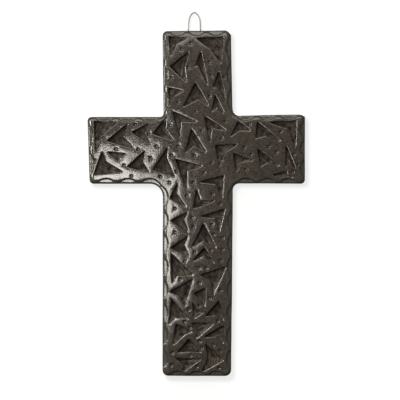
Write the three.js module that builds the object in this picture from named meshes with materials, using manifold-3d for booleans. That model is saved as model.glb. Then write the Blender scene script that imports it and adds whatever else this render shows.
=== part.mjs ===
// A wall cross of burnished black clay: a thick slab with a rounded front edge, chip-carved with arrowheads,
// punched with dots and scalloped all round its edge, with a bent wire loop in its head to hang it by.
// Millimetres, +Z up, front towards -Y. The origin is on the flat back, at the middle of the crossing.
import * as THREE from 'three';
import { ConvexGeometry } from 'three/addons/geometries/ConvexGeometry.js';
import { mergeVertices } from 'three/addons/utils/BufferGeometryUtils.js';
import Module from 'manifold-3d';

// Slab
const THICKNESS = 18;
const FRONT_ROUND = 3.3; // how far the front edge's rounding reaches in from the outline
const FRONT_ROUND_DEPTH = 4.5; // how far it reaches back from the front face
const BACK_ROUND = 1.4;
const FRONT_SLAB_BACK = 2; // the front slab, rounded both ways, ends inside the back slab
const BACK_SLAB_FRONT = 12;
const FRONT_ROUND_STEPS = 4;
const BACK_ROUND_STEPS = 2;
const ARC_STEPS = 3;

// Corners of the hand-shaped outline, clockwise from the head's left: x, z, corner radius
const CORNERS = [
  { x: -30.8, z: 103.3, radius: 4 },
  { x: 28.6, z: 104, radius: 5 },
  { x: 30, z: 30, radius: 7, inner: true },
  { x: 92.8, z: 31.3, radius: 3.5 },
  { x: 92.6, z: -29, radius: 3.5 },
  { x: 30.2, z: -28.7, radius: 6, inner: true },
  { x: 28.9, z: -195.8, radius: 5.5 },
  { x: -30.9, z: -195.6, radius: 5 },
  { x: -30.4, z: -29, radius: 11, inner: true },
  { x: -93.8, z: -29, radius: 3.5 },
  { x: -95.9, z: 29, radius: 3.5 },
  { x: -29.7, z: 28.8, radius: 3.5, inner: true },
];

// Scallops cut side by side along every edge of the front
const SCALLOP_PITCH = 19.7;
const SCALLOP_CHORD = 0.97; // share of its pitch that each scallop opens over
const SCALLOP_REACH = 4.6; // in from the outline
const SCALLOP_DEPTH = 1.7;
const SCALLOP_SIDES = 24;
const SCALLOP_INNER_MARGIN = 2; // bare edge left beside an inner corner
const SCALLOP_OUTER_MARGIN = 5; // and beside an outer one

// Arrowhead cuts. Each is two slanted arms that share a tip, and its floor rises from the tip to the notch
// between them.
const TIP_DEPTH = 2.4;
const ARM_DEPTH = 1.7;
const NOTCH_DEPTH = 1.1;
const TIP_SLOPE = 1.2; // how far the walls lean in by the floor
const ARM_SLOPE = 1.3;
const NOTCH_SLOPE = 0.5;
const SEAM = 0.05; // each arm runs this far past the line that the two share
const CLEAR = 1; // every cutting tool starts this far in front of the face

// Dots: round dimples from a blunt punch
const DOT_RADIUS = 1.6;
const DOT_DEPTH = 1.1;
const DOT_SIDES = 7;
const DOT_RINGS = 5;

// Wire loop, its two legs let into the head's top edge
const WIRE_RADIUS = 0.55;
const WIRE_SIDES = 8;
const WIRE_STEPS = 32;
const WIRE_FROM_BACK = 6;
const LEFT_LEG_X = -8.4;
const RIGHT_LEG_X = 2.1;
const LEG_BOTTOM = 97;
const LEG_STRAIGHT_TO = 105;
const LOOP_TOP = 119.9;
const LOOP_HALF_WIDTH = 3.9;
const LOOP_SHOULDER = 116;
const SOCKET_GAP = 0.3;
const SOCKET_TOP = 108;
const SOCKET_SIDES = 10;

// Where the carver set the arrowheads: the tip, the ends of both arms, and how far the notch lies from the
// tip towards the line between those ends. Where a last number follows, the notch heads for that share of
// the line, and not for its middle.
const HEAD_CUTS = [
  [[-25.5, 98.5], [-8, 97.5], [-23.5, 80.5], 0.73],
  [[22.5, 98], [-2, 97], [20, 75], 0.87],
  [[-25, 72.5], [-7.5, 86], [-9.5, 58.5], 0.83],
  [[2.5, 86], [-3, 72], [9.5, 54.5], 0.74, 0.15],
  [[18, 69], [12.5, 54.5], [25.5, 41], 0.8, 0.3],
  [[14.5, 48.5], [11.5, 33], [23.5, 30.5], 0.7],
  [[-2.5, 59], [-13.5, 37], [10, 37], 0.67, 0.65],
  [[-26, 54.5], [-12, 51.5], [-25, 36.5], 0.72],
];
const CROSSING_CUTS = [
  [[-22.5, 34], [1, 24], [-15, 8], 0.52],
  [[5, 30], [25.5, 16.5], [10.5, 5], 0.56],
  [[-6, 19], [-11.5, -3], [8, -3], 0.67],
  [[14.5, 4.5], [35, 5.5], [18.5, -15.5], 0.71],
  [[-20, -7.5], [4.5, -14], [-9.5, -35], 0.61],
  [[22.5, -21.5], [0, -27.5], [21, -43], 0.58],
];
const LEFT_ARM_CUTS = [
  [[-90, 25.5], [-69, 24.5], [-89, -3], 0.75],
  [[-79, 8], [-60, 24], [-55, 1], 0.69],
  [[-57.5, 15.5], [-41.5, 24], [-41, 4.5], 0.71],
  [[-90.5, -21.5], [-83, -0.5], [-64.5, -19], 0.78, 0.35],
  [[-79, -1], [-61.5, -3], [-68, -10.5], 0.86],
  [[-61.5, -14.5], [-45.5, 0], [-42, -19.5], 0.78],
  [[-39.5, 14], [-27, 30], [-21, 8], 0.75],
  [[-39.5, -17.2], [-26, 3.5], [-20, -23.5], 0.82, 0.35],
];
const RIGHT_ARM_CUTS = [
  [[34.5, 25.5], [46.5, 16.5], [27.5, 11], 0.7],
  [[51, 25], [73, 6.5], [49.5, 10], 0.75],
  [[30, -2], [48.5, -9], [33, -19.5], 0.69],
  [[51, 2], [72, -15], [54, -14.5], 0.75],
  [[76, 5], [86, -20], [75.5, -16], 0.57],
  [[85.5, 25.5], [60, 24.5], [84.5, 0], 0.53],
  [[63.5, -21.5], [77, -18], [84, -24.5], 0.8],
];
const SHAFT_CUTS = [
  [[-24.5, -42], [-17, -26.5], [-10, -49.5], 0.62, 0.4],
  [[-4.5, -51], [-1.5, -32.5], [16, -43.5], 0.57],
  [[-24, -61], [-8, -53], [-8, -71.5], 0.73, 0.32],
  [[-24, -84.5], [-8, -73.5], [-7.5, -92.5], 0.75, 0.42],
  [[23.5, -50.5], [1, -57.5], [18, -72], 0.6],
  [[4.5, -63], [-6, -84.5], [16, -85.5], 0.69],
  [[5.5, -84], [-6, -97], [15, -99.5], 0.49],
  [[-23.5, -89], [-4, -108.5], [-22.5, -116], 0.8, 0.7],
  [[-4.3, -111], [-25, -122.5], [-11, -135.5], 0.87],
  [[24.5, -100.5], [1, -108], [13, -126], 0.77],
  [[6.3, -119], [-4.5, -124], [5.8, -136], 0.93],
  [[-4, -146], [-5, -130], [4.5, -140.5], 0.75],
  [[-23, -128.5], [-8, -146], [-25.5, -151], 0.8, 0.64],
  [[18.5, -129.5], [5.5, -144], [22.5, -148], 0.82],
];
const FOOT_CUTS = [
  [[14, -149.5], [-7, -149.5], [-2.5, -163.5], 0.79],
  [[-19.5, -150], [-4.5, -157], [-22, -169], 0.86, 0.35],
  [[22.5, -151], [4, -162], [22, -168], 0.74],
  [[-8, -163], [-18.5, -175], [3, -175], 0.95],
  [[3, -180.5], [-20.5, -180], [-14, -192.5], 0.74],
  [[22.5, -181.5], [6, -167], [2.5, -192.5], 0.79],
];
const ARROW_CUTS = [
  ...HEAD_CUTS, ...CROSSING_CUTS, ...LEFT_ARM_CUTS, ...RIGHT_ARM_CUTS, ...SHAFT_CUTS, ...FOOT_CUTS,
];

// Where the punch was set: x, z
const HEAD_DOTS = [
  [-6, 92.5], [-14, 87.5], [-8, 71.5], [10, 76], [11.5, 65],
  [23, 63], [-23, 62.5], [10, 46.5], [-17, 41.5], [-1.5, 33.5],
];
const CROSSING_DOTS = [
  [-24, 21.5], [24, 25], [3.5, 16.5], [20.5, 10], [-17, 3],
  [-3, -5], [12, -11], [5, -20], [-23, -4.5], [-18.6, -18.5],
];
const LEFT_ARM_DOTS = [
  [-81.5, 10.5], [-71, 1], [-64, -13], [-57.5, -22.2], [-51.5, 0.8], [-54, 22],
  [-41, -6.5], [-89.5, -8.5], [-36, 3.5], [-42.5, 13.5], [-32.4, -22.9], [-24.7, -28],
];
const RIGHT_ARM_DOTS = [
  [44.5, 22.5], [71.5, 16], [40.5, 2], [61.5, 3], [68, -2],
  [46, -4], [41.5, -17], [83, -4], [86.8, -12.5], [81.5, -19],
];
const SHAFT_DOTS = [
  [-4, -28], [-9.5, -39.5], [-20, -50.5], [12.5, -38.5], [19, -47], [-5, -58.5], [-4, -66.5],
  [-20, -71], [12, -64.5], [13.5, -73], [21, -76], [21, -86], [11, -86.5], [-3, -88.5],
  [-11.5, -96], [19.5, -95.5], [0.5, -102], [7, -102], [-15.5, -111.5], [1, -115], [19, -121.5],
  [9.7, -128], [-8, -137.5], [1, -134.5], [-11.5, -148.5], [17, -148],
];
const FOOT_DOTS = [
  [-7, -153.3], [1.3, -165], [13, -168.5], [3, -171], [-22.3, -175],
  [-6.5, -177.6], [19.3, -173.5], [-22.8, -186], [-1, -187.5], [18, -188.5],
];
const DOTS = [
  ...HEAD_DOTS, ...CROSSING_DOTS, ...LEFT_ARM_DOTS, ...RIGHT_ARM_DOTS, ...SHAFT_DOTS, ...FOOT_DOTS,
];

const BLACK_CLAY = new THREE.MeshStandardMaterial({ color: 0x3b3835, roughness: 0.4, metalness: 0.05 });
const STEEL_WIRE = new THREE.MeshStandardMaterial({ color: 0xa9a9a6, roughness: 0.4, metalness: 0.9 });

const wasm = await Module();
wasm.setup();

function solidOf(geometry) {
  geometry.deleteAttribute('normal');
  geometry.deleteAttribute('uv');
  const merged = mergeVertices(geometry);
  return new wasm.Manifold(new wasm.Mesh({
    numProp: 3,
    vertProperties: new Float32Array(merged.attributes.position.array),
    triVerts: new Uint32Array(merged.index.array),
  }));
}

function geometryOf(solid) {
  const mesh = solid.getMesh();
  const geometry = new THREE.BufferGeometry();
  geometry.setAttribute('position', new THREE.BufferAttribute(mesh.vertProperties, 3));
  geometry.setIndex(new THREE.BufferAttribute(mesh.triVerts, 1));
  return geometry;
}

// Flat place on the front, and the same place at a depth below the face
const flat = ([x, z]) => new THREE.Vector2(x, z);
const below = (place, depth) => new THREE.Vector3(place.x, depth - THICKNESS, place.y);

function stepTowards(from, to, distance) {
  return to.clone().sub(from).setLength(distance).add(from);
}

function outline() {
  const shape = new THREE.Shape();
  CORNERS.forEach(({ x, z, radius, inner }, index) => {
    const corner = flat([x, z]);
    const before = CORNERS.at(index - 1);
    const after = CORNERS[(index + 1) % CORNERS.length];
    const back = flat([before.x, before.z]).sub(corner).normalize();
    const ahead = flat([after.x, after.z]).sub(corner).normalize();
    const halfAngle = Math.acos(back.dot(ahead)) / 2;
    const centre = back.clone().add(ahead).setLength(radius / Math.sin(halfAngle)).add(corner);
    const tangent = radius / Math.tan(halfAngle);
    const start = back.multiplyScalar(tangent).add(corner).sub(centre);
    const end = ahead.multiplyScalar(tangent).add(corner).sub(centre);
    shape.absarc(centre.x, centre.y, radius, start.angle(), end.angle(), !inner);
  });
  return shape;
}

// A slab from one distance in front of the back to another, its edges rounded at both faces
function slab(back, front, round, roundDepth, roundSteps) {
  const geometry = new THREE.ExtrudeGeometry(outline(), {
    depth: front - back - 2 * roundDepth,
    curveSegments: ARC_STEPS,
    bevelSize: round,
    bevelOffset: -round,
    bevelThickness: roundDepth,
    bevelSegments: roundSteps,
  });
  return solidOf(geometry.translate(0, 0, back + roundDepth).rotateX(Math.PI / 2));
}

function armOfCut(tip, end, notch) {
  const middle = tip.clone().add(end).add(notch).divideScalar(3);
  const past = tip.clone().add(notch).divideScalar(2).sub(end).setLength(SEAM);
  const face = [tip.clone().add(past), end, notch.clone().add(past)];
  const floor = [
    below(stepTowards(tip, notch, TIP_SLOPE).add(past), TIP_DEPTH),
    below(stepTowards(end, middle, ARM_SLOPE), ARM_DEPTH),
    below(stepTowards(notch, tip, NOTCH_SLOPE).add(past), NOTCH_DEPTH),
  ];
  const mouth = face.flatMap((place) => [below(place, -CLEAR), below(place, 0)]);
  return solidOf(new ConvexGeometry([...mouth, ...floor]));
}

function arrowCut([tipPlace, firstPlace, secondPlace, notchShare, lineShare = 0.5]) {
  const tip = flat(tipPlace);
  const first = flat(firstPlace);
  const second = flat(secondPlace);
  const notch = tip.clone().lerp(first.clone().lerp(second, lineShare), notchShare);
  return armOfCut(tip, first, notch).add(armOfCut(tip, second, notch));
}

function dot([x, z]) {
  const radius = (DOT_RADIUS ** 2 + DOT_DEPTH ** 2) / (2 * DOT_DEPTH);
  const ball = new THREE.SphereGeometry(radius, DOT_SIDES, DOT_RINGS);
  return solidOf(ball.translate(x, DOT_DEPTH - radius - THICKNESS, z));
}

// Round tools set side by side along one edge, their middles outside the outline
function scallopsAlong(from, to) {
  const start = flat([from.x, from.z]);
  const run = flat([to.x, to.z]).sub(start);
  const length = run.length();
  const ahead = run.normalize();
  const outward = new THREE.Vector2(-ahead.y, ahead.x);
  const margins = [from, to].map(({ inner }) => (inner ? SCALLOP_INNER_MARGIN : SCALLOP_OUTER_MARGIN));
  const room = length - margins[0] - margins[1];
  const count = Math.round(room / SCALLOP_PITCH);
  const pitch = room / count;
  const halfChord = (pitch * SCALLOP_CHORD) / 2;
  const radius = (halfChord ** 2 + SCALLOP_REACH ** 2) / (2 * SCALLOP_REACH);
  const height = SCALLOP_DEPTH + CLEAR;
  return Array.from({ length: count }, (_, index) => {
    const middle = start.clone()
      .addScaledVector(ahead, margins[0] + pitch * (index + 0.5))
      .addScaledVector(outward, radius - SCALLOP_REACH);
    const tool = new THREE.CylinderGeometry(radius, radius, height, SCALLOP_SIDES);
    return solidOf(tool.translate(middle.x, height / 2 - CLEAR - THICKNESS, middle.y));
  });
}

function socket(x) {
  const radius = (WIRE_RADIUS + SOCKET_GAP) / Math.cos(Math.PI / SOCKET_SIDES);
  const floor = LEG_BOTTOM - SOCKET_GAP;
  const height = SOCKET_TOP - floor;
  const drill = new THREE.CylinderGeometry(radius, radius, height, SOCKET_SIDES).rotateX(Math.PI / 2);
  return solidOf(drill.translate(x, -WIRE_FROM_BACK, floor + height / 2));
}

function ceramicCross() {
  const front = slab(FRONT_SLAB_BACK, THICKNESS, FRONT_ROUND, FRONT_ROUND_DEPTH, FRONT_ROUND_STEPS);
  const back = slab(0, BACK_SLAB_FRONT, BACK_ROUND, BACK_ROUND, BACK_ROUND_STEPS);
  const scallops = CORNERS.flatMap((corner, index) => scallopsAlong(CORNERS.at(index - 1), corner));
  const tools = [
    ...scallops,
    ...ARROW_CUTS.map(arrowCut),
    ...DOTS.map(dot),
    socket(LEFT_LEG_X),
    socket(RIGHT_LEG_X),
  ];
  const carved = front.add(back).subtract(tools.reduce((all, tool) => all.add(tool)));
  return geometryOf(carved);
}

function hangingWire() {
  const middle = (LEFT_LEG_X + RIGHT_LEG_X) / 2;
  const route = [
    [LEFT_LEG_X, LEG_BOTTOM],
    [LEFT_LEG_X, LEG_STRAIGHT_TO],
    [middle - LOOP_HALF_WIDTH, LOOP_SHOULDER],
    [middle, LOOP_TOP],
    [middle + LOOP_HALF_WIDTH, LOOP_SHOULDER],
    [RIGHT_LEG_X, LEG_STRAIGHT_TO],
    [RIGHT_LEG_X, LEG_BOTTOM],
  ];
  const path = new THREE.CatmullRomCurve3(route.map(([x, z]) => new THREE.Vector3(x, -WIRE_FROM_BACK, z)));
  const section = new THREE.Shape().absarc(0, 0, WIRE_RADIUS, 0, 2 * Math.PI);
  return new THREE.ExtrudeGeometry(section, {
    steps: WIRE_STEPS,
    curveSegments: WIRE_SIDES / 2,
    extrudePath: path,
  });
}

function piece(name, geometry, material) {
  const mesh = new THREE.Mesh(geometry, material);
  mesh.name = name;
  return mesh;
}

const wallCross = new THREE.Group();
wallCross.add(piece('ceramic_cross', ceramicCross(), BLACK_CLAY));
wallCross.add(piece('hanging_wire', hangingWire(), STEEL_WIRE));

export default wallCross;
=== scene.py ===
import math

import bmesh
import bpy
import numpy as np
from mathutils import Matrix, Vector, kdtree, noise


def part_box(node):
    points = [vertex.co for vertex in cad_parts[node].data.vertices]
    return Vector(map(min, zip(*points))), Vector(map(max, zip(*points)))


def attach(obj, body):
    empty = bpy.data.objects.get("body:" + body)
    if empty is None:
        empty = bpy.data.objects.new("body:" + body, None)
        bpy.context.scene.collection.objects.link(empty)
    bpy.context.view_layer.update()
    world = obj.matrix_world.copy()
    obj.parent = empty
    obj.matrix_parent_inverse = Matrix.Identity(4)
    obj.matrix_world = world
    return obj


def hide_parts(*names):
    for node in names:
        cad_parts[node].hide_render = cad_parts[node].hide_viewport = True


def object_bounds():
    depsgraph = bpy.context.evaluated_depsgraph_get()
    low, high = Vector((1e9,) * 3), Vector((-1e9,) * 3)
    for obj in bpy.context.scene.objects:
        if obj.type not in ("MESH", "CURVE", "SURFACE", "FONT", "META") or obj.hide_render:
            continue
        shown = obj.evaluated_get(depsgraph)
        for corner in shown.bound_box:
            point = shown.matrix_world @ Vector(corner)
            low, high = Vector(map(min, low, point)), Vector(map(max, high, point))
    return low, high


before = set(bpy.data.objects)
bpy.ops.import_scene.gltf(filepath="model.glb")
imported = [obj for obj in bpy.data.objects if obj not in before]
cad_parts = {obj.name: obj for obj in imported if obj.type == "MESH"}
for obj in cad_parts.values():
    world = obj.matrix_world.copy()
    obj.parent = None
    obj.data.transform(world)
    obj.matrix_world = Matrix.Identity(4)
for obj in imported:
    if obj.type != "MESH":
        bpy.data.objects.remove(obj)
cad_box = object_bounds()

MM = 0.001

# The photograph's frame: a square picture that looks straight at the front
PICTURE_WIDTH = 346.1 * MM  # what the picture takes in at the front face
PICTURE_MIDDLE = (1.7 * MM, -43.1 * MM)  # x and z
LENS = 300  # a long lens from well back, so the sides hardly show
SENSOR = 36

# Clay
WELD = 0.001 * MM
SKIN = 0.42 * MM  # size of the even mesh that the carving is worked in
LIP_SOFTENING = 4
HOLLOWING = 24  # passes that hollow the floors of the cuts
CLAY_TRIANGLES = 196000
SWELL = 0.15 * MM  # slow waves that the hand leaves in a slab
SWELL_LENGTH = 70 * MM
PILLOW = 0.3 * MM  # how far the face falls off towards its edge
PILLOW_REACH = 18 * MM
BURNISH = 0.16 * MM  # shallow facets that the burnishing stone leaves
BURNISH_LENGTH = 18 * MM
CHATTER = 0.3 * MM  # ridges that the knife leaves along the floors of the cuts
CHATTER_LENGTH = 2.2 * MM  # across the ridges
STROKE_LENGTH = 22 * MM  # along them
NOOK_REACH = 12  # rounds of averaging that tell a nook or a lip from the clay around it
NOOK_DEPTH = 0.5 * MM
FLAT_BACK = 3 * MM  # the back stays flat this far in

# Rim, cuts and dots
LIMB_HALF_WIDTH = 30 * MM
SHAFT_MIDDLE = -0.6 * MM  # the hand-made shaft stands a little to the left
RIM = 5 * MM
RIM_FADE = 1.5 * MM
CUT_STARTS = 0.2 * MM
CUT_FULL = 0.6 * MM
CUT_DEEPEST = 4 * MM  # whatever lies deeper than this is side or back
FLOOR_SHARE = 0.6  # a face this far into a cut is its floor
BACK_FACING = 0.7  # a face that looks this much backwards is the back
CUT_FINISH = 1  # place in the clay's list of finishes
BACK_FINISH = 2
PUNCH_WIDTH = 5 * MM  # a hollow narrower than this is a punched dot, and a wider one is a cut
SLIVER = 1.8 * MM  # a hollow as thin as this is the end of a scallop
DOT_FLOOR = 0.8 * MM  # radius of a dot's slightly hollow floor
DOT_EDGE = 1.8 * MM  # and of its mouth
DOT_DEPTH = 1.1 * MM
DOT_HOLLOW = 0.1 * MM
DEEP_SIDE = (-0.7, 0.7)  # cuts are deepest to their upper left, x and z
DEEP_SHARE = 1.1  # of a cut's solid depth, on its deep side
SHALLOW_SHARE = 0.55  # and on the far side
SOFTENING = 0.5  # share of the way to its neighbours that a vertex moves in each pass
HOLLOWED = 0.5  # a vertex this far into a cut is hollowed
FINER_REACH = 1.4  # finer faces reach this far, in radii of a dot

# Where each kind of hand wave starts in the noise
SWELL_SEED = 1.3
BURNISH_SEED = 72.11  # of many that were tried, one whose sheen falls about as in the photo
CHATTER_SEED = 4.1

# Wire
ROUNDING_LOSS = 0.045 * MM  # what rounding takes off the solid wire's eight flats

# Colours; a dark and a pale one are the two ends of a finish's mottle
# dark clay, and also the colour of the painted shade in nooks and on the deep side of the cut floors
DARK_CLAY_AND_SHADE = (0.005, 0.004, 0.0031, 1)
RUBBED_DARK = (0.014, 0.0113, 0.0091, 1)
RUBBED_PALE = (0.052, 0.0422, 0.0341, 1)
RIM_DARK = (0.026, 0.0247, 0.0195, 1)
RIM_PALE = (0.05, 0.0478, 0.038, 1)
STREAK_DARK = (0.02, 0.0164, 0.013, 1)
STREAK_PALE = (0.16, 0.131, 0.104, 1)
SMOKED_DARK = (0.014, 0.012, 0.01, 1)
SMOKED_PALE = (0.07, 0.061, 0.0505, 1)
WIPE_SHADE = 0.4  # share of dark clay in the darkest wipes
WIRE_DARK = (0.22, 0.22, 0.215, 1)
WIRE_PALE = (0.36, 0.36, 0.35, 1)
ROOM_TINT = (1, 0.95, 0.88, 1)
BACKDROP = (0.9, 0.9, 0.9, 1)

# Grain of the finishes, in features a metre
RUBBED_MOTTLE = 700
RUBBING = 160
FACE_PITS = 900
CUT_BLOTCHES = 240
CUT_STREAKS = 700
CUT_CRUMB = 700
SMOKE_CLOUDS = 24
CLOTH_WIPES = 110
BACK_PITS = 800
TARNISH = 300
DRAWN_LINES = 2500
ALONG_SHAFT = (1, 1, 0.35)  # stretches the rubbing along the shaft
ALONG_WIPES = (1, 1, 0.1)  # and the wipes and the drawn lines along z

# Heights of the finishes' bumps
RUBBED_BUMP = 0.05 * MM
CUT_BUMP = 0.2 * MM
BACK_PIT_BUMP = 0.08 * MM
WIPE_BUMP = 0.25 * MM
WIRE_BUMP = 0.01 * MM

# Roughness; a pair runs from the glossiest to the dullest place
FACE_GLOSS = (0.07, 0.15)
RIM_GLOSS = 0.16
CUT_MATT = 0.7
CUT_SHINE = 0.1  # specular level of the floors
BACK_MATT = (0.36, 0.5)
WIRE_MATT = (0.45, 0.6)

# Stage
STAGE_WIDTH = 6
STAGE_SHADE = 0.5
STAGE_GLOW = 0.75
STAGE_MATT = 0.9
WALL_GAP = 0.5 * MM
FLOOR_LEVEL = -0.6

# Light
WARM_LIGHT = (1, 0.96, 0.9)
WHITE_LIGHT = (1, 1, 1)
FLOOR_GLOW = 0.05  # light that the room gives from straight below
CEILING_GLOW = 0.42  # and from straight above


def piece_of(shape, name):
    """A new object at the origin that holds a finished bmesh."""
    mesh = bpy.data.meshes.new(name)
    shape.to_mesh(mesh)
    shape.free()
    piece = bpy.data.objects.new(name, mesh)
    bpy.context.scene.collection.objects.link(piece)
    return piece


def joined_copy(node):
    """A bmesh of a solid, its loose triangles joined."""
    shape = bmesh.new()
    shape.from_mesh(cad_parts[node].data)
    bmesh.ops.remove_doubles(shape, verts=shape.verts, dist=WELD)
    return shape


def settle(piece):
    """Turns a piece's modifiers into plain mesh."""
    graph = bpy.context.evaluated_depsgraph_get()
    finished = bpy.data.meshes.new_from_object(piece.evaluated_get(graph))
    worked = piece.data
    piece.modifiers.clear()
    piece.data = finished
    bpy.data.meshes.remove(worked)


def places_of(mesh):
    places = np.empty(len(mesh.vertices) * 3, np.float32)
    mesh.vertices.foreach_get("co", places)
    return places.reshape(-1, 3)


def normals_of(mesh):
    normals = np.empty(len(mesh.vertices) * 3, np.float32)
    mesh.vertices.foreach_get("normal", normals)
    return normals.reshape(-1, 3)


def waves(places, length, seed):
    """Smooth random heights from -1 to 1, one for each place."""
    start = Vector((seed, 2 * seed, 3 * seed))
    return np.array([noise.noise(Vector(place) / length + start) for place in places], np.float32)


def step_up(values, low, high):
    """0 below low, 1 above high, and a smooth step between them."""
    share = np.clip((values - low) / (high - low), 0, 1)
    return share * share * (3 - 2 * share)


def depth_below_front(places):
    return places[:, 1] - cad_box[0][1]


def inset_of(places):
    """How far a place lies in from the edge of the cross, seen from the front."""
    low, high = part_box("ceramic_cross")
    x, z = places[:, 0], places[:, 2]
    on_shaft = np.minimum.reduce([LIMB_HALF_WIDTH - abs(x - SHAFT_MIDDLE), z - low.z, high.z - z])
    on_arms = np.minimum.reduce([LIMB_HALF_WIDTH - abs(z), x - low.x, high.x - x])
    return np.maximum(on_shaft, on_arms)


def edges_of(mesh):
    edges = np.empty(len(mesh.edges) * 2, np.int32)
    mesh.edges.foreach_get("vertices", edges)
    return edges.reshape(-1, 2)


def neighbour_mean(mesh, values, rounds):
    """Each vertex's value, averaged again and again with its neighbours' values."""
    first, second = edges_of(mesh).T
    count = np.bincount(first, minlength=len(values)) + np.bincount(second, minlength=len(values))
    for _ in range(rounds):
        from_first = np.bincount(second, values[first], len(values))
        from_second = np.bincount(first, values[second], len(values))
        values = (from_first + from_second) / count
    return values


def hollows(mesh, sunk):
    """The separate groups of neighbouring vertices among those that are sunk below the face."""
    edges = edges_of(mesh)
    neighbours = {}
    for first, second in edges[sunk[edges].all(axis=1)].tolist():
        neighbours.setdefault(first, []).append(second)
        neighbours.setdefault(second, []).append(first)
    seen = set()
    for start in neighbours:
        if start in seen:
            continue
        seen.add(start)
        group = [start]
        for vertex in group:
            fresh = [other for other in neighbours[vertex] if other not in seen]
            seen.update(fresh)
            group.extend(fresh)
        yield group


def finer_dots(cross, middles):
    """Splits the faces of every dot, so that it can be round."""
    shape = bmesh.new()
    shape.from_mesh(cross.data)
    front = [vertex for vertex in shape.verts if vertex.co.y < cad_box[0][1] + 2 * DOT_DEPTH]
    tree = kdtree.KDTree(len(front))
    for index, vertex in enumerate(front):
        tree.insert(vertex.co, index)
    tree.balance()
    reach = FINER_REACH * DOT_EDGE
    near = {front[index] for middle in middles for _, index, _ in tree.find_range(middle, reach)}
    edges = [edge for edge in shape.edges if edge.verts[0] in near and edge.verts[1] in near]
    bmesh.ops.subdivide_edges(shape, edges=edges, cuts=1, use_grid_fill=True)
    shape.to_mesh(cross.data)
    shape.free()


def punch_dot(places, middle, carved):
    """Gives a dot the hollow floor and the steep round wall that a blunt punch leaves."""
    reach = np.hypot(places[:, 0] - middle[0], places[:, 2] - middle[2])
    struck = (reach < DOT_EDGE) & (depth_below_front(places) < 2 * DOT_DEPTH) & (carved == 0)
    wall = 1 - step_up(reach[struck], DOT_FLOOR, DOT_EDGE)
    hollow = np.clip(1 - (reach[struck] / DOT_FLOOR) ** 2, 0, 1)
    places[struck, 1] = cad_box[0][1] + DOT_DEPTH * wall + DOT_HOLLOW * hollow


def deep_side(places, cut):
    """0 on the shallow side of a cut to 1 on its deep side, as a slanted knife leaves it."""
    along = places[cut][:, [0, 2]] @ DEEP_SIDE
    return (along - along.min()) / np.ptp(along)


def stroke_places(places, cut):
    """How far each place of a cut lies across the knife's strokes, which run along the cut's length."""
    flat = places[cut][:, [0, 2]]
    flat = flat - flat.mean(axis=0)
    across = np.linalg.eigh(flat.T @ flat)[1][:, 0]
    return flat @ across


def cuts_and_dots(mesh):
    """Lists of the vertices in each cut and in each punched dot."""
    places = places_of(mesh)
    depth = depth_below_front(places)
    sunk = (depth > CUT_STARTS) & (depth < CUT_DEEPEST) & (inset_of(places) > RIM)
    cuts, dots = [], []
    for group in hollows(mesh, sunk):
        narrow, wide = sorted(np.ptp(places[group][:, [0, 2]], axis=0))
        if narrow < SLIVER:
            continue
        if wide < PUNCH_WIDTH:
            dots.append(group)
        else:
            cuts.append(group)
    return cuts, dots


def shape_cuts(cross):
    """Slants the cuts, punches the dots, and marks the cuts, the knife's strokes in them, their deep side,
    towards which the floors are painted darker as shade, and the rim.
    """
    mesh = cross.data
    places = places_of(mesh)
    middles = [places[dot].mean(axis=0) for dot in cuts_and_dots(mesh)[1]]
    finer_dots(cross, middles)
    places = places_of(mesh)
    cuts = cuts_and_dots(mesh)[0]
    depth = depth_below_front(places)
    carved = np.zeros(len(places), np.float32)
    stroke = np.zeros(len(places), np.float32)
    deep_side_shade = np.zeros(len(places), np.float32)
    for number, cut in enumerate(cuts):
        carved[cut] = step_up(depth[cut], CUT_STARTS, CUT_FULL)
        stroke[cut] = stroke_places(places, cut) + number * STROKE_LENGTH
        deep_side_shade[cut] = deep_side(places, cut)
        slant = SHALLOW_SHARE + (DEEP_SHARE - SHALLOW_SHARE) * deep_side_shade[cut]
        places[cut, 1] = cad_box[0][1] + depth[cut] * slant
    for middle in middles:
        punch_dot(places, middle, carved)
    mesh.vertices.foreach_set("co", places.ravel())
    mesh.update()
    rim = 1 - step_up(inset_of(places), RIM - RIM_FADE, RIM + RIM_FADE)
    rim[depth > CUT_DEEPEST] = 1
    set_marks(mesh, "carved", carved)
    set_marks(mesh, "stroke", stroke)
    set_marks(mesh, "deep_side_shade", deep_side_shade)
    set_marks(mesh, "rim", rim)


def set_marks(mesh, name, values):
    """Keeps one number for each vertex, for the finishes to read."""
    marks = mesh.attributes.new(name, "FLOAT", "POINT")
    marks.data.foreach_set("value", values.astype(np.float32))


def marks_of(mesh, name):
    values = np.empty(len(mesh.vertices), np.float32)
    mesh.attributes[name].data.foreach_get("value", values)
    return values


def even_skin(cross):
    """Works the solid into an even mesh."""
    skin = cross.modifiers.new("even skin", "REMESH")
    skin.mode = "VOXEL"
    skin.voxel_size = SKIN
    settle(cross)


def hollow_floors(cross):
    """Hollows the floors of the cuts, as a knife scoops them, and then softens every lip a little."""
    floors = cross.vertex_groups.new(name="floors")
    carved = marks_of(cross.data, "carved")
    floors.add([int(index) for index in np.flatnonzero(carved > HOLLOWED)], 1, "REPLACE")
    scoop = cross.modifiers.new("scooped floors", "SMOOTH")
    scoop.vertex_group = "floors"
    scoop.factor = SOFTENING
    scoop.iterations = HOLLOWING
    soften = cross.modifiers.new("soft lips", "SMOOTH")
    soften.factor = SOFTENING
    soften.iterations = LIP_SOFTENING
    settle(cross)
    cross.vertex_groups.clear()


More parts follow.
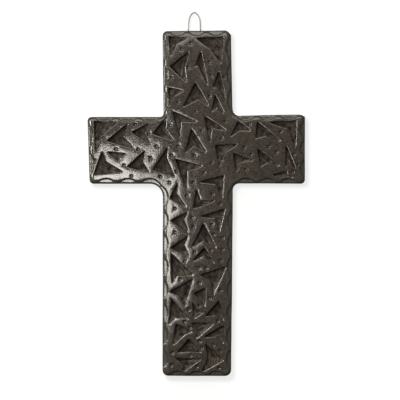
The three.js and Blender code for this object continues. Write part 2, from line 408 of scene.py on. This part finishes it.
def hand_marks(cross):
    """Lets the hand show: slow waves in the slab, burnishing facets, knife chatter in the cuts."""
    mesh = cross.data
    places = places_of(mesh)
    carved = marks_of(mesh, "carved")
    off_back = step_up(-places[:, 1], 0, FLAT_BACK)
    heights = SWELL * waves(places, SWELL_LENGTH, SWELL_SEED)
    heights += BURNISH * waves(places, BURNISH_LENGTH, BURNISH_SEED) * (1 - carved)
    across = marks_of(mesh, "stroke") / CHATTER_LENGTH
    strokes = np.column_stack([across, places[:, [0, 2]] / STROKE_LENGTH])
    heights += CHATTER * waves(strokes, 1, CHATTER_SEED) * carved
    moved = places + normals_of(mesh) * (heights * off_back)[:, None]
    near_front = 1 - step_up(depth_below_front(places), CUT_DEEPEST, 3 * CUT_DEEPEST)
    moved[:, 1] += PILLOW * (1 - np.clip(inset_of(places) / PILLOW_REACH, 0, 1)) ** 2 * near_front
    mesh.vertices.foreach_set("co", moved.ravel())
    mesh.update()


def nooks_and_lips(cross):
    """Marks how far each place lies sunk below the clay around it, above 0, where the face's finish paints
    shade in black, or stands out as a rubbed lip, below 0.
    """
    mesh = cross.data
    depth = depth_below_front(places_of(mesh))
    sunk = (depth - neighbour_mean(mesh, depth, NOOK_REACH)) / NOOK_DEPTH
    set_marks(mesh, "nook_shade", np.clip(sunk, -1, 1))


def thin_plain_clay(cross):
    """Fewer faces where the clay is plain, such as the flat back."""
    faces = sum(len(face.vertices) - 2 for face in cross.data.polygons)
    thin = cross.modifiers.new("thin plain clay", "DECIMATE")
    thin.ratio = min(1, CLAY_TRIANGLES / faces)
    settle(cross)
    cross.data.shade_smooth()


def finish_clay(cross):
    """Burnished clay, cut clay on the faces that lie wholly in a cut, and wiped clay on the back."""
    mesh = cross.data
    mesh.materials.clear()
    for finish in (burnished_clay(), cut_clay(), wiped_back()):
        mesh.materials.append(finish)
    carved = marks_of(mesh, "carved")
    for face in mesh.polygons:
        if face.normal.y > BACK_FACING:
            face.material_index = BACK_FINISH
        elif carved[list(face.vertices)].min() > FLOOR_SHARE:
            face.material_index = CUT_FINISH


def carved_cross():
    cross = piece_of(joined_copy("ceramic_cross"), "carved_cross")
    even_skin(cross)
    shape_cuts(cross)
    hollow_floors(cross)
    hand_marks(cross)
    nooks_and_lips(cross)
    thin_plain_clay(cross)
    finish_clay(cross)
    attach(cross, "root")
    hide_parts("ceramic_cross")
    return cross


def wire_loop():
    """The bent wire, rounded from its solid and drawn back to its full thickness."""
    wire = piece_of(joined_copy("hanging_wire"), "wire_loop")
    rounding = wire.modifiers.new("round wire", "SUBSURF")
    rounding.levels = 1
    rounding.render_levels = 1
    fatten = wire.modifiers.new("full thickness", "DISPLACE")
    fatten.strength = ROUNDING_LOSS
    fatten.mid_level = 0
    settle(wire)
    wire.data.shade_smooth()
    wire.data.materials.clear()
    wire.data.materials.append(grey_wire())
    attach(wire, "root")
    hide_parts("hanging_wire")
    return wire


def new_finish(name):
    finish = bpy.data.materials.new(name)
    finish.use_nodes = True
    tree = finish.node_tree
    return finish, tree, tree.nodes["Principled BSDF"]


def add(tree, kind, **settings):
    made = tree.nodes.new(kind)
    for name, value in settings.items():
        setattr(made, name, value)
    return made


def strokes_grain(tree, scale, detail):
    """A noise pattern that runs in streaks along the knife's strokes; scale is in streaks a metre."""
    pattern = add(tree, "ShaderNodeTexNoise", noise_dimensions="1D")
    pattern.inputs["Scale"].default_value = scale
    pattern.inputs["Detail"].default_value = detail
    tree.links.new(mark(tree, "stroke"), pattern.inputs["W"])
    return pattern.outputs["Fac"]


def grain(tree, scale, detail, stretch=(1, 1, 1)):
    """A noise pattern fixed to the piece; scale is in features a metre."""
    where = add(tree, "ShaderNodeTexCoord")
    spread = add(tree, "ShaderNodeMapping")
    spread.inputs["Scale"].default_value = stretch
    pattern = add(tree, "ShaderNodeTexNoise")
    pattern.inputs["Scale"].default_value = scale
    pattern.inputs["Detail"].default_value = detail
    tree.links.new(where.outputs["Object"], spread.inputs["Vector"])
    tree.links.new(spread.outputs["Vector"], pattern.inputs["Vector"])
    return pattern.outputs["Fac"]


def mark(tree, name):
    return add(tree, "ShaderNodeAttribute", attribute_name=name).outputs["Fac"]


def ranged(tree, value, low, high, half_width=0.2, middle=0.5):
    """A pattern's middle, this far to both sides of it, spread from low to high."""
    spread = add(tree, "ShaderNodeMapRange")
    spread.inputs["From Min"].default_value = middle - half_width
    spread.inputs["From Max"].default_value = middle + half_width
    spread.inputs["To Min"].default_value = low
    spread.inputs["To Max"].default_value = high
    tree.links.new(value, spread.inputs["Value"])
    return spread.outputs["Result"]


def put(tree, socket, value):
    """Links a socket's source, or sets its plain value."""
    if isinstance(value, bpy.types.NodeSocket):
        tree.links.new(value, socket)
    else:
        socket.default_value = value


def mixed_colour(tree, share, first, second):
    blend = add(tree, "ShaderNodeMix", data_type="RGBA")
    put(tree, blend.inputs["Factor"], share)
    put(tree, blend.inputs["A"], first)
    put(tree, blend.inputs["B"], second)
    return blend.outputs["Result"]


def mixed_value(tree, share, first, second):
    blend = add(tree, "ShaderNodeMix", data_type="FLOAT")
    put(tree, blend.inputs["Factor"], share)
    put(tree, blend.inputs["A"], first)
    put(tree, blend.inputs["B"], second)
    return blend.outputs["Result"]


def bumped(tree, height, depth, below=None):
    bump = add(tree, "ShaderNodeBump")
    bump.inputs["Strength"].default_value = 1
    bump.inputs["Distance"].default_value = depth
    tree.links.new(height, bump.inputs["Height"])
    if below is not None:
        tree.links.new(below, bump.inputs["Normal"])
    return bump.outputs["Normal"]


def burnished_clay():
    """Black clay rubbed with a stone: glossy and silvery on the face, duller and olive on the rim."""
    finish, tree, shader = new_finish("burnished_clay")
    rim = mark(tree, "rim")
    mottle = ranged(tree, grain(tree, RUBBED_MOTTLE, detail=6), 0, 1)
    rubbed = mixed_colour(tree, mottle, RUBBED_DARK, RUBBED_PALE)
    edge = mixed_colour(tree, mottle, RIM_DARK, RIM_PALE)
    face = mixed_colour(tree, rim, rubbed, edge)
    walls = mixed_colour(tree, mark(tree, "carved"), face, DARK_CLAY_AND_SHADE)
    # painted shade: places sunk below the clay around them are darkened to black clay, except on the rim
    nook_shade = ranged(tree, mark(tree, "nook_shade"), 0, 1, half_width=0.3, middle=0.4)
    nook_shade_on_face = mixed_value(tree, rim, nook_shade, 0)
    put(tree, shader.inputs["Base Color"], mixed_colour(tree, nook_shade_on_face, walls, DARK_CLAY_AND_SHADE))
    streaks = grain(tree, RUBBING, detail=5, stretch=ALONG_SHAFT)
    rubbed_gloss = ranged(tree, streaks, *FACE_GLOSS)
    put(tree, shader.inputs["Roughness"], mixed_value(tree, rim, rubbed_gloss, RIM_GLOSS))
    pits = bumped(tree, grain(tree, FACE_PITS, detail=3), RUBBED_BUMP)
    put(tree, shader.inputs["Normal"], bumped(tree, streaks, RUBBED_BUMP, pits))
    return finish


def cut_clay():
    """The floors of the cuts: matt, dark and brownish, with the knife's marks, and painted darker as shade
    towards their deep upper-left side.
    """
    finish, tree, shader = new_finish("cut_clay")
    mottle = ranged(tree, grain(tree, CUT_BLOTCHES, detail=5), 0, 1, half_width=0.14)
    streaks = ranged(tree, strokes_grain(tree, CUT_STREAKS, detail=3), 0, 1, half_width=0.25)
    light_clay = mixed_colour(tree, streaks, STREAK_DARK, STREAK_PALE)
    floor = mixed_colour(tree, mottle, DARK_CLAY_AND_SHADE, light_clay)
    # painted shade: each floor turns to black clay towards its deep upper-left side
    deep_side_shade = ranged(tree, mark(tree, "deep_side_shade"), 0, 1, half_width=0.45)
    put(tree, shader.inputs["Base Color"], mixed_colour(tree, deep_side_shade, floor, DARK_CLAY_AND_SHADE))
    shader.inputs["Roughness"].default_value = CUT_MATT
    shader.inputs["Specular IOR Level"].default_value = CUT_SHINE
    put(tree, shader.inputs["Normal"], bumped(tree, grain(tree, CUT_CRUMB, detail=3), CUT_BUMP))
    return finish


def wiped_back():
    """The plain back: matt clay, wiped with a wet cloth and clouded by the smoke of the firing."""
    finish, tree, shader = new_finish("wiped_back")
    clouds = ranged(tree, grain(tree, SMOKE_CLOUDS, detail=4), 0, 1)
    wipes = grain(tree, CLOTH_WIPES, detail=5, stretch=ALONG_WIPES)
    smoked = mixed_colour(tree, clouds, SMOKED_DARK, SMOKED_PALE)
    streaked = ranged(tree, wipes, WIPE_SHADE, 0)
    put(tree, shader.inputs["Base Color"], mixed_colour(tree, streaked, smoked, DARK_CLAY_AND_SHADE))
    put(tree, shader.inputs["Roughness"], ranged(tree, wipes, *reversed(BACK_MATT)))
    pits = bumped(tree, grain(tree, BACK_PITS, detail=3), BACK_PIT_BUMP)
    put(tree, shader.inputs["Normal"], bumped(tree, wipes, WIPE_BUMP, pits))
    return finish


def grey_wire():
    """Dull drawn wire, a little darker in places."""
    finish, tree, shader = new_finish("grey_wire")
    tarnish = grain(tree, TARNISH, detail=3)
    put(tree, shader.inputs["Base Color"], mixed_colour(tree, tarnish, WIRE_DARK, WIRE_PALE))
    shader.inputs["Metallic"].default_value = 1
    put(tree, shader.inputs["Roughness"], ranged(tree, tarnish, *WIRE_MATT))
    drawn = grain(tree, DRAWN_LINES, detail=2, stretch=ALONG_WIPES)
    put(tree, shader.inputs["Normal"], bumped(tree, drawn, WIRE_BUMP))
    return finish


def pale_paint():
    """Plain pale stage, seen only from the side that faces the object."""
    finish, tree, shader = new_finish("pale_stage")
    shader.inputs["Base Color"].default_value = (STAGE_SHADE, STAGE_SHADE, STAGE_SHADE, 1)
    shader.inputs["Roughness"].default_value = STAGE_MATT
    shader.inputs["Emission Color"].default_value = (1, 1, 1, 1)
    shader.inputs["Emission Strength"].default_value = STAGE_GLOW
    side = add(tree, "ShaderNodeNewGeometry")
    clear = add(tree, "ShaderNodeBsdfTransparent")
    either = add(tree, "ShaderNodeMixShader")
    tree.links.new(side.outputs["Backfacing"], either.inputs["Fac"])
    tree.links.new(shader.outputs["BSDF"], either.inputs[1])
    tree.links.new(clear.outputs["BSDF"], either.inputs[2])
    tree.links.new(either.outputs["Shader"], tree.nodes["Material Output"].inputs["Surface"])
    return finish


def stage_sheet(name, turn, place, finish):
    sheet = bmesh.new()
    bmesh.ops.create_grid(sheet, x_segments=1, y_segments=1, size=STAGE_WIDTH / 2)
    board = piece_of(sheet, name)
    board.rotation_euler = turn
    board.location = place
    board.data.materials.append(finish)
    board.visible_diffuse = False
    board.visible_glossy = False
    board.visible_shadow = False
    return board


def pale_stage():
    paint = pale_paint()
    wall = stage_sheet("wall", (math.pi / 2, 0, 0), (0, WALL_GAP, 0), paint)
    floor = stage_sheet("floor", (0, 0, 0), (0, 0, FLOOR_LEVEL), paint)
    return [wall, floor]


def soft_light(name, lit, place, aim, size, power, tint=WARM_LIGHT):
    """A rectangular soft light that falls on one group of objects, in metres and watts."""
    lamp = bpy.data.lights.new(name, "AREA")
    lamp.shape = "RECTANGLE"
    lamp.size, lamp.size_y = size
    lamp.energy = power
    lamp.color = tint
    light = bpy.data.objects.new(name, lamp)
    light.location = place
    light.rotation_euler = (Vector(aim) - Vector(place)).to_track_quat("-Z", "Y").to_euler()
    light.visible_camera = False
    bpy.context.scene.collection.objects.link(light)
    light.light_linking.receiver_collection = lit


def group_of(name, objects):
    group = bpy.data.collections.new(name)
    for member in objects:
        group.objects.link(member)
    return group


def studio_light(pieces, sheets):
    cross_only = group_of("lit_pieces", pieces)
    stage_only = group_of("lit_stage", sheets)
    soft_light("low_left", cross_only, place=(-0.1, -0.62, -0.07), aim=(-0.1, 0, -0.07), size=(0.1, 0.15),
               power=0.85)
    soft_light("left", cross_only, place=(-0.55, -0.5, 0.06), aim=(0, 0, -0.03), size=(0.19, 0.19), power=4.6)
    soft_light("above", cross_only, place=(-0.08, -0.6, 0.34), aim=(0, 0, 0), size=(0.5, 0.4), power=2.6)
    soft_light("behind", cross_only, place=(0.5, 1.3, 0.7), aim=(0, 0, -0.05), size=(0.8, 0.8), power=14)
    soft_light("on_stage", stage_only, place=(-0.25, -1.2, 0.25), aim=(0, 0, -0.05), size=(0.25, 0.25),
               power=6, tint=WHITE_LIGHT)


def pale_room():
    """Soft light from all round, brighter from above; the camera sees a plain pale backdrop."""
    world = bpy.data.worlds.new("pale_room")
    world.use_nodes = True
    tree = world.node_tree
    room = tree.nodes["Background"]
    room.inputs["Color"].default_value = ROOM_TINT
    towards = add(tree, "ShaderNodeSeparateXYZ")
    tree.links.new(add(tree, "ShaderNodeTexCoord").outputs["Generated"], towards.inputs["Vector"])
    glow = ranged(tree, towards.outputs["Z"], FLOOR_GLOW, CEILING_GLOW, half_width=1, middle=0)
    put(tree, room.inputs["Strength"], glow)
    backdrop = add(tree, "ShaderNodeBackground")
    backdrop.inputs["Color"].default_value = BACKDROP
    ray = add(tree, "ShaderNodeLightPath")
    seen = add(tree, "ShaderNodeMixShader")
    tree.links.new(ray.outputs["Is Camera Ray"], seen.inputs["Fac"])
    tree.links.new(room.outputs["Background"], seen.inputs[1])
    tree.links.new(backdrop.outputs["Background"], seen.inputs[2])
    tree.links.new(seen.outputs["Shader"], tree.nodes["World Output"].inputs["Surface"])
    bpy.context.scene.world = world
    bpy.context.scene.view_settings.view_transform = "Standard"


def picture_camera():
    """Straight at the front, as far off as the picture's width at the face asks."""
    far = PICTURE_WIDTH * LENS / SENSOR
    view = bpy.data.cameras.new("picture_camera")
    view.lens = LENS
    view.sensor_width = SENSOR
    camera = bpy.data.objects.new("picture_camera", view)
    camera.location = (PICTURE_MIDDLE[0], cad_box[0][1] - far, PICTURE_MIDDLE[1])
    camera.rotation_euler = (math.pi / 2, 0, 0)
    bpy.context.scene.collection.objects.link(camera)
    bpy.context.scene.camera = camera


picture_camera()
pieces = [carved_cross(), wire_loop()]
studio_light(pieces, pale_stage())
pale_room()
